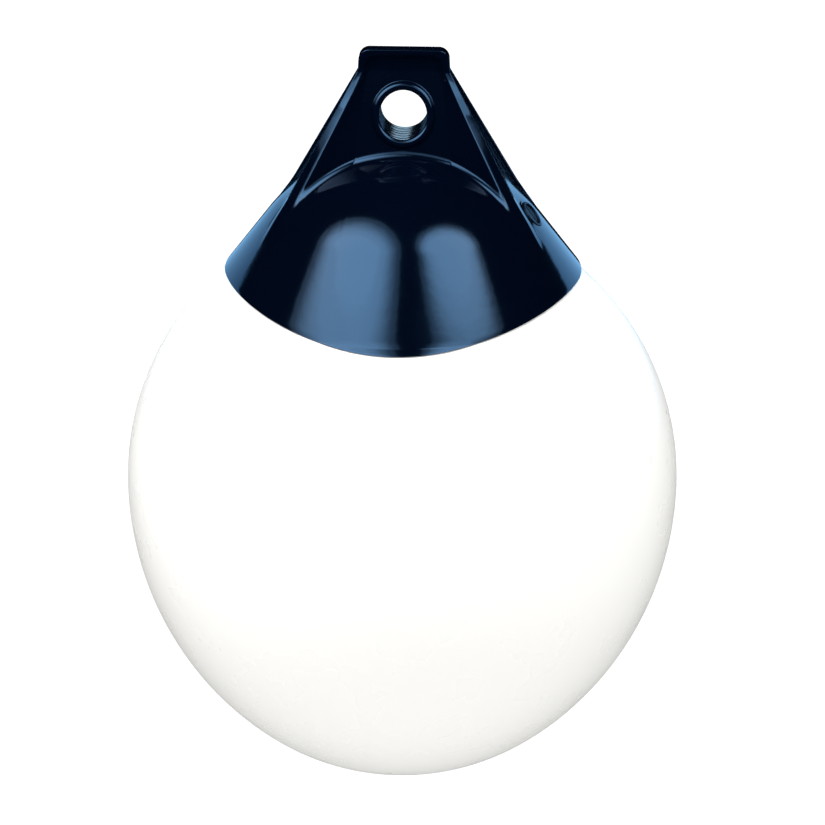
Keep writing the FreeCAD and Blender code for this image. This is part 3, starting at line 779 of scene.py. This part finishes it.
class Signal:
    """A shader socket in a sum: each operator adds its Math node."""

    def __init__(self, finish, socket):
        self.finish = finish
        self.socket = socket

    def maths(self, operation, *others):
        """A Math node on this signal and the others."""
        return self.finish.node("ShaderNodeMath", {"operation": operation}, [self, *others])

    def ramp(self, low, high):
        """0 below low and 1 above high."""
        sockets = {"Value": self, "From Min": low, "From Max": high}
        return self.finish.node("ShaderNodeMapRange", {}, sockets)

    def __add__(self, other):
        return self.maths("ADD", other)

    __radd__ = __add__

    def __mul__(self, other):
        return self.maths("MULTIPLY", other)

    __rmul__ = __mul__

    def __sub__(self, other):
        return self.maths("SUBTRACT", other)

    def __rsub__(self, other):
        return self.finish.node("ShaderNodeMath", {"operation": "SUBTRACT"}, [other, self])


class Finish:
    """A material whose nodes all come from one method."""

    def __init__(self, name):
        self.material = bpy.data.materials.new(name)
        self.material.use_nodes = True
        self.tree = self.material.node_tree
        self.tree.nodes.clear()
        self.place = self.node("ShaderNodeTexCoord", {}, {}, "Object")

    def node(self, kind, settings, values, output=0):
        """Add a node: settings are set first, then its sockets by name or by order."""
        node = self.tree.nodes.new(kind)
        for key, setting in settings.items():
            setattr(node, key, setting)
        pairs = values.items() if isinstance(values, dict) else enumerate(values)
        for key, value in pairs:
            if isinstance(value, Signal):
                self.tree.links.new(value.socket, node.inputs[key])
            else:
                node.inputs[key].default_value = value
        return Signal(self, node.outputs[output]) if len(node.outputs) else None

    def parts(self):
        """The object's own coordinates in metres: across, depth and up."""
        first = self.node("ShaderNodeSeparateXYZ", {}, [self.place])
        return [Signal(self, output) for output in first.socket.node.outputs]

    def noise(self, scale, detail=2.0):
        """Even noise from 0 to 1 over the object's own coordinates, scale in waves per metre."""
        sockets = {"Vector": self.place, "Scale": scale, "Detail": detail}
        return self.node("ShaderNodeTexNoise", {"noise_dimensions": "3D"}, sockets)

    def mix(self, factor, first, second):
        """Mix two colours by a factor."""
        sockets = {0: factor, 6: first, 7: second}
        return self.node("ShaderNodeMix", {"data_type": "RGBA"}, sockets, 2)

    def bump(self, height, strength, distance):
        """A bump whose height is a signal from 0 to 1, its distance in metres."""
        sockets = {"Strength": strength, "Distance": distance, "Height": height}
        return self.node("ShaderNodeBump", {}, sockets)

    def surface(self, sockets):
        """The surface shader: values are set on its sockets, and signals are linked to them."""
        shader = self.node("ShaderNodeBsdfPrincipled", {}, sockets)
        self.node("ShaderNodeOutputMaterial", {}, {"Surface": shader})
        return self.material

    def moulded(self, tint, rough, bump, gloss=WHITE):
        """Plastic or rubber with a driven colour, roughness and bump, and a tint in its gloss."""
        driven = {"Base Color": tint, "Roughness": rough, "Normal": bump}
        return self.surface({"IOR": PLASTIC_IOR, "Specular Tint": gloss, **driven})


def colour(rgb, factor=1.0):
    """A colour with a full alpha, its channels times one factor or a factor each."""
    return (*np.multiply(tuple(rgb), factor).tolist(), 1.0)


def navy_vinyl(settings):
    """Polished moulded vinyl: deep navy, faint flow marks, and a skin a little uneven.

    The rope eye's bore is duller and has fine rings, sin(1100 * depth + 3 * noise).
    """
    finish = Finish("navy_vinyl")
    flow = finish.noise(14.0, 3.0)
    tint = finish.mix(flow, colour(settings.navy), colour(settings.navy, 1.25))
    across, depth, up = finish.parts()
    bore = 1 - (across * across + up * up).maths("SQRT").ramp(*BORE_EDGE)
    rough = settings.cap_roughness + finish.noise(55.0) * 0.04 - 0.02 + bore * 0.16
    rings = (1100.0 * depth + 3.0 * finish.noise(60.0, 1.0)).maths("SINE") * bore
    bump = finish.bump(finish.noise(160.0) * 0.3 + rings, 0.3, 0.0003)
    return finish.moulded(tint, rough, bump, BLUE_GLOSS)


def white_vinyl(settings):
    """Soft white vinyl: nearly even, a breath warmer in slow clouds, with a satin gloss."""
    finish = Finish("white_vinyl")
    warmer = colour(settings.white, (1.0, 0.998, 0.992))
    tint = finish.mix(finish.noise(6.0), colour(settings.white), warmer)
    rough = finish.noise(30.0) * 0.08 + 0.24
    bump = finish.bump(finish.noise(40.0, 1.0), 0.02, 0.0005)
    return finish.moulded(tint, rough, bump)


def valve_plastic(settings):
    """Turned dark blue plastic, with a fine grain of tool marks."""
    finish = Finish("valve_plastic")
    grain = finish.noise(400.0)
    tint = finish.mix(grain, colour(settings.navy, 0.8), colour(settings.navy, 1.4))
    rough = finish.noise(300.0, 1.0) * 0.1 + 0.42
    bump = finish.bump(finish.noise(900.0), 0.15, 0.0002)
    return finish.moulded(tint, rough, bump, BLUE_GLOSS)


def seal_rubber():
    """Black rubber, satin and slightly grainy."""
    finish = Finish("seal_rubber")
    black, grey = (0.012, 0.012, 0.013, 1.0), (0.03, 0.03, 0.032, 1.0)
    tint = finish.mix(finish.noise(500.0), black, grey)
    rough = finish.noise(700.0, 1.0) * 0.15 + 0.45
    bump = finish.bump(finish.noise(1500.0), 0.2, 0.0002)
    return finish.moulded(tint, rough, bump)


def paint(piece, material):
    """Give a piece one material on all its faces."""
    slots = piece.data.materials
    if len(slots):
        for index in range(len(slots)):
            slots[index] = material
    else:
        slots.append(material)


# The tools of the add-on

class BuoyLooks(bpy.types.PropertyGroup):
    navy: bpy.props.FloatVectorProperty(
        name="Navy vinyl", description="Colour of the moulded cap",
        default=(0.0002, 0.0011, 0.0042), size=3, subtype="COLOR", min=0, max=1)
    white: bpy.props.FloatVectorProperty(
        name="White vinyl", description="Colour of the inflated ball",
        default=(0.86, 0.855, 0.83), size=3, subtype="COLOR", min=0, max=1)
    cap_roughness: bpy.props.FloatProperty(
        name="Cap roughness", description="How dull the cap's polish is",
        default=0.09, min=0, max=1, subtype="FACTOR")
    fillet: bpy.props.FloatProperty(
        name="Arch fillet",
        description="Width of the blend where the web meets the crown, in millimetres",
        default=4.5, min=0.5, max=12)
    row_step: bpy.props.FloatProperty(
        name="Row step", description="Spacing of the cap's rows, in millimetres",
        default=1.25, min=0.5, max=5)


class BuoyStage(bpy.types.PropertyGroup):
    camera_distance: bpy.props.FloatProperty(
        name="Camera distance", description="From the camera to the ball's waist",
        default=1.84, unit="LENGTH")
    camera_height: bpy.props.FloatProperty(
        name="Camera height", description="Angle of the camera above the waist",
        default=math.radians(22.5), subtype="ANGLE")
    camera_turn: bpy.props.FloatProperty(
        name="Camera turn", description="Angle of the camera towards the valve's side",
        default=math.radians(2.35), subtype="ANGLE")
    camera_roll: bpy.props.FloatProperty(
        name="Camera roll", description="Tilt of the camera",
        default=math.radians(0.25), subtype="ANGLE")
    lens: bpy.props.FloatProperty(
        name="Lens", description="Focal length on a 36 mm sensor, in millimetres",
        default=119.17, unit="CAMERA")
    box_left: bpy.props.FloatProperty(
        name="Left box", description="Brightness of the left soft box", default=8.9, min=0)
    box_right: bpy.props.FloatProperty(
        name="Right box", description="Brightness of the right soft box", default=8.1, min=0)
    front: bpy.props.FloatProperty(
        name="Front", description="Brightness of the weak light over the camera",
        default=4.5, min=0)
    low: bpy.props.FloatProperty(
        name="Low", description="Brightness of the lights that the ribs reflect",
        default=15.0, min=0)
    floor_glow: bpy.props.FloatProperty(
        name="Floor glow", description="Brightness of the floor's own light",
        default=1.06, min=0)
    back_left: bpy.props.FloatProperty(
        name="Back left", description="Brightness of the left cards behind the cap",
        default=1.3, min=0)
    back_right: bpy.props.FloatProperty(
        name="Back right", description="Brightness of the right cards behind the cap",
        default=1.75, min=0)
    behind_eye: bpy.props.FloatProperty(
        name="Behind the eye", description="Brightness of the card behind the rope eye",
        default=2.4, min=0)
    ambient: bpy.props.FloatProperty(
        name="Ambient", description="Even light from all round, left out of reflections",
        default=1.0, min=0)


class OBJECT_OT_buoy_ball(bpy.types.Operator):
    """Build the inflated white ball with its wall and its neck"""
    bl_idname = "object.buoy_ball"
    bl_label = "Vinyl ball"

    def execute(self, context):
        ball = ball_mesh().make("ball")
        paint(ball, white_vinyl(context.scene.buoy_looks))
        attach(ball, "buoy")
        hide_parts("ball_skin")
        return {"FINISHED"}


class OBJECT_OT_buoy_cap(bpy.types.Operator):
    """Build the moulded rope-eye cap: head, ribbed web, ring, crown, skirt and valve seat"""
    bl_idname = "object.buoy_cap"
    bl_label = "Rope-eye cap"

    def execute(self, context):
        looks = context.scene.buoy_looks
        cap = cap_mesh(looks.fillet, looks.row_step).make("rope_cap")
        paint(cap, navy_vinyl(looks))
        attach(cap, "buoy")
        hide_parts("rope_eye_cap")
        return {"FINISHED"}


class OBJECT_OT_buoy_valve(bpy.types.Operator):
    """Finish the air valve's sleeve, seal and screw"""
    bl_idname = "object.buoy_valve"
    bl_label = "Air valve"

    def execute(self, context):
        looks = context.scene.buoy_looks
        plastic = valve_plastic(looks)
        paint(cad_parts["valve_body"], plastic)
        paint(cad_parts["valve_screw"], plastic)
        paint(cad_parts["valve_seal"], seal_rubber())
        return {"FINISHED"}


# The stage's lights, with lengths in metres and angles in degrees. Azimuth is from the front
# towards the valve's side, and height is above the level of the skirt's middle
SKIRT_MIDDLE = -0.09

# Each big soft box is nested ellipses, so that its edge fades, and each is a step further away:
# (name, azimuth, height, half size, what a part adds to that, twist)
BOX_PARTS = (-2.6, -1.3, -0.6, 0.0, 0.6, 1.3, 2.6)
BOX_DISTANCE = 0.8
BOX_STEP = 0.004
LEFT_BOX = ("left_box", -46.9, 52.2, (0.330, 0.209), 0.040, 10.7)
RIGHT_BOX = ("right_box", 51.9, 53.1, (0.252, 0.170), 0.023, -22.2)

# The rest shows in reflections only. First ellipses whose size is times each part, then cards:
# (azimuth, height, distance, half size), and the cards' tints
FRONT_BOX = (3, 37, 1.0, (0.30, 0.12))
FRONT_PARTS = (0.6, 0.9, 1.2)
RIB_BOX = (25, 37.5, 0.96, (0.20, 0.10))
RIB_PARTS = (0.7, 1.0, 1.3)
BACK_AZIMUTHS = (119, 130, 141, 152)
BACK_CARD = (-1.0, 0.6, (0.0578, 0.142))
BACK_TINT = (0.25, 0.58, 1.0)
EYE_CARD = (180, 31.0, 0.233, (0.03, 0.03))
EYE_TINT = (0.5, 0.78, 1.0)

# The floor: half its width and its drop below the buoy in metres, and its paper's grey. Then
# the camera's sensor in millimetres, and how far the photograph's frame is off the lens's axis
FLOOR_REACH = 14.0
FLOOR_DROP = 0.001
PAPER = (0.12, 0.12, 0.12, 1.0)
SENSOR_WIDTH = 36
LENS_SHIFT = (0.0124, 0.0758)


def face_in(name, data, middle, turn, rise, distance, roll):
    """Place an object that faces a middle, its own Z pointing away from it, and roll it."""
    level, lift = math.cos(rise), math.sin(rise)
    out = Vector((level * math.sin(turn), -level * math.cos(turn), lift))
    right = Vector((math.cos(turn), math.sin(turn), 0))
    up = Vector((-lift * math.sin(turn), lift * math.cos(turn), level))
    across = right * math.cos(roll) + up * math.sin(roll)
    above = up * math.cos(roll) - right * math.sin(roll)
    turning = Matrix((across, above, out)).transposed().to_4x4()
    thing = bpy.data.objects.new(name, data)
    thing.matrix_world = Matrix.Translation(middle + out * distance) @ turning
    bpy.context.scene.collection.objects.link(thing)
    return thing


def soft_box(name, shape, azimuth, height, distance, half_size, twist, brightness, tint=(1, 1, 1)):
    """A flat light that faces the skirt's middle, brightness being the radiance of its face."""
    lamp = bpy.data.lights.new(name, "AREA")
    lamp.shape = shape
    lamp.size, lamp.size_y = 2 * half_size[0], 2 * half_size[1]
    face = lamp.size * lamp.size_y
    lamp.energy = brightness * math.pi * (face if shape == "RECTANGLE" else face * math.pi / 4)
    lamp.color = tint
    middle = Vector((0, 0, SKIRT_MIDDLE))
    turn, rise, roll = (math.radians(angle) for angle in (azimuth, height, twist))
    box = face_in(name, lamp, middle, turn, rise, distance, roll)
    box.visible_camera = False
    return box


def mirrored_box(*settings):
    """A soft box that shows in reflections only."""
    soft_box(*settings).visible_diffuse = False


def mirrored_ellipses(name, side, box, parts, brightness):
    """Ellipses inside each other that share a brightness and show in reflections only."""
    azimuth, height, distance, half_size = box
    for index, part in enumerate(parts):
        size = [half * part for half in half_size]
        share = brightness / len(parts)
        title = "%s_%d" % (name, index)
        mirrored_box(title, "ELLIPSE", azimuth * side, height, distance, size, 0, share)


def hang_lights(stage):
    """Hang all the lights, as bright as the stage's settings say."""
    sides = ((LEFT_BOX, stage.box_left), (RIGHT_BOX, stage.box_right))
    for index, part in enumerate(BOX_PARTS):
        away = BOX_DISTANCE + BOX_STEP * index
        for (name, azimuth, height, half_size, growth, twist), glow in sides:
            size = [half + growth * part for half in half_size]
            share = glow / len(BOX_PARTS)
            title = "%s_%d" % (name, index)
            soft_box(title, "ELLIPSE", azimuth, height, away, size, twist, share)
    mirrored_ellipses("front_box", 1, FRONT_BOX, FRONT_PARTS, stage.front)
    for side in (-1, 1):
        mirrored_ellipses("rib_box_%d" % side, side, RIB_BOX, RIB_PARTS, stage.low)
    for side, glow in ((-1, stage.back_left), (1, stage.back_right)):
        for azimuth in BACK_AZIMUTHS:
            title = "back_box_%d_%d" % (side, azimuth)
            mirrored_box(title, "RECTANGLE", azimuth * side, *BACK_CARD, 0, glow, BACK_TINT)
    mirrored_box("eye_box", "RECTANGLE", *EYE_CARD, 0, stage.behind_eye, EYE_TINT)


def lay_floor(glow):
    """A pale sheet that also glows, as paper lit from behind does, and isn't reflected."""
    near, far = -FLOOR_REACH, FLOOR_REACH
    level = CAD_BOX[0][2] - FLOOR_DROP
    corners = [(near, near, level), (far, near, level), (far, far, level), (near, far, level)]
    mesh = bpy.data.meshes.new("floor")
    mesh.from_pydata(corners, [], [(0, 1, 2, 3)])
    floor = bpy.data.objects.new("floor", mesh)
    bpy.context.scene.collection.objects.link(floor)
    glowing = {"Emission Color": WHITE, "Emission Strength": glow}
    paint(floor, Finish("floor_paper").surface({"Base Color": PAPER, "Roughness": 1.0, **glowing}))
    floor.visible_glossy = False


def set_world(scene, ambient):
    """Even light from all round, left out of reflections, and plain colours in the picture."""
    world = bpy.data.worlds.new("studio")
    scene.world = world
    world.use_nodes = True
    background = world.node_tree.nodes["Background"].inputs
    background["Color"].default_value = WHITE
    background["Strength"].default_value = ambient
    world.cycles_visibility.glossy = False
    scene.view_settings.view_transform = "Standard"


def place_camera(scene, stage):
    """Aim the camera at the ball's waist, with the photograph's frame."""
    lens = bpy.data.cameras.new("camera")
    lens.lens = stage.lens
    lens.sensor_width = SENSOR_WIDTH
    lens.shift_x, lens.shift_y = LENS_SHIFT
    aim = Vector((0, 0, WAIST * MM))
    turn, rise, roll = stage.camera_turn, stage.camera_height, stage.camera_roll
    scene.camera = face_in("camera", lens, aim, turn, rise, stage.camera_distance, roll)


class OBJECT_OT_buoy_stage(bpy.types.Operator):
    """Lay the pale floor, hang the soft lights and place the camera of the photograph"""
    bl_idname = "object.buoy_stage"
    bl_label = "Studio"

    def execute(self, context):
        stage = context.scene.buoy_stage
        lay_floor(stage.floor_glow)
        hang_lights(stage)
        set_world(context.scene, stage.ambient)
        place_camera(context.scene, stage)
        return {"FINISHED"}


class VIEW3D_PT_buoy(bpy.types.Panel):
    """Lists the buoy's operators and settings"""
    bl_idname = "VIEW3D_PT_buoy"
    bl_label = "Mooring buoy"
    bl_space_type = "VIEW_3D"
    bl_region_type = "UI"
    bl_category = "Buoy"

    def draw(self, context):
        for tool in TOOLS:
            self.layout.operator(tool.bl_idname)
        for group in (context.scene.buoy_looks, context.scene.buoy_stage):
            for key in group.__annotations__:
                self.layout.prop(group, key)


TOOLS = (OBJECT_OT_buoy_ball, OBJECT_OT_buoy_cap, OBJECT_OT_buoy_valve, OBJECT_OT_buoy_stage)
CLASSES = (BuoyLooks, BuoyStage) + TOOLS + (VIEW3D_PT_buoy,)


def register():
    for item in CLASSES:
        bpy.utils.register_class(item)
    bpy.types.Scene.buoy_looks = bpy.props.PointerProperty(type=BuoyLooks)
    bpy.types.Scene.buoy_stage = bpy.props.PointerProperty(type=BuoyStage)


def unregister():
    del bpy.types.Scene.buoy_stage
    del bpy.types.Scene.buoy_looks
    for item in reversed(CLASSES):
        bpy.utils.unregister_class(item)


def main():
    register()
    bpy.ops.object.buoy_ball()
    bpy.ops.object.buoy_cap()
    bpy.ops.object.buoy_valve()
    bpy.ops.object.buoy_stage()


if __name__ == "__main__":
    main()
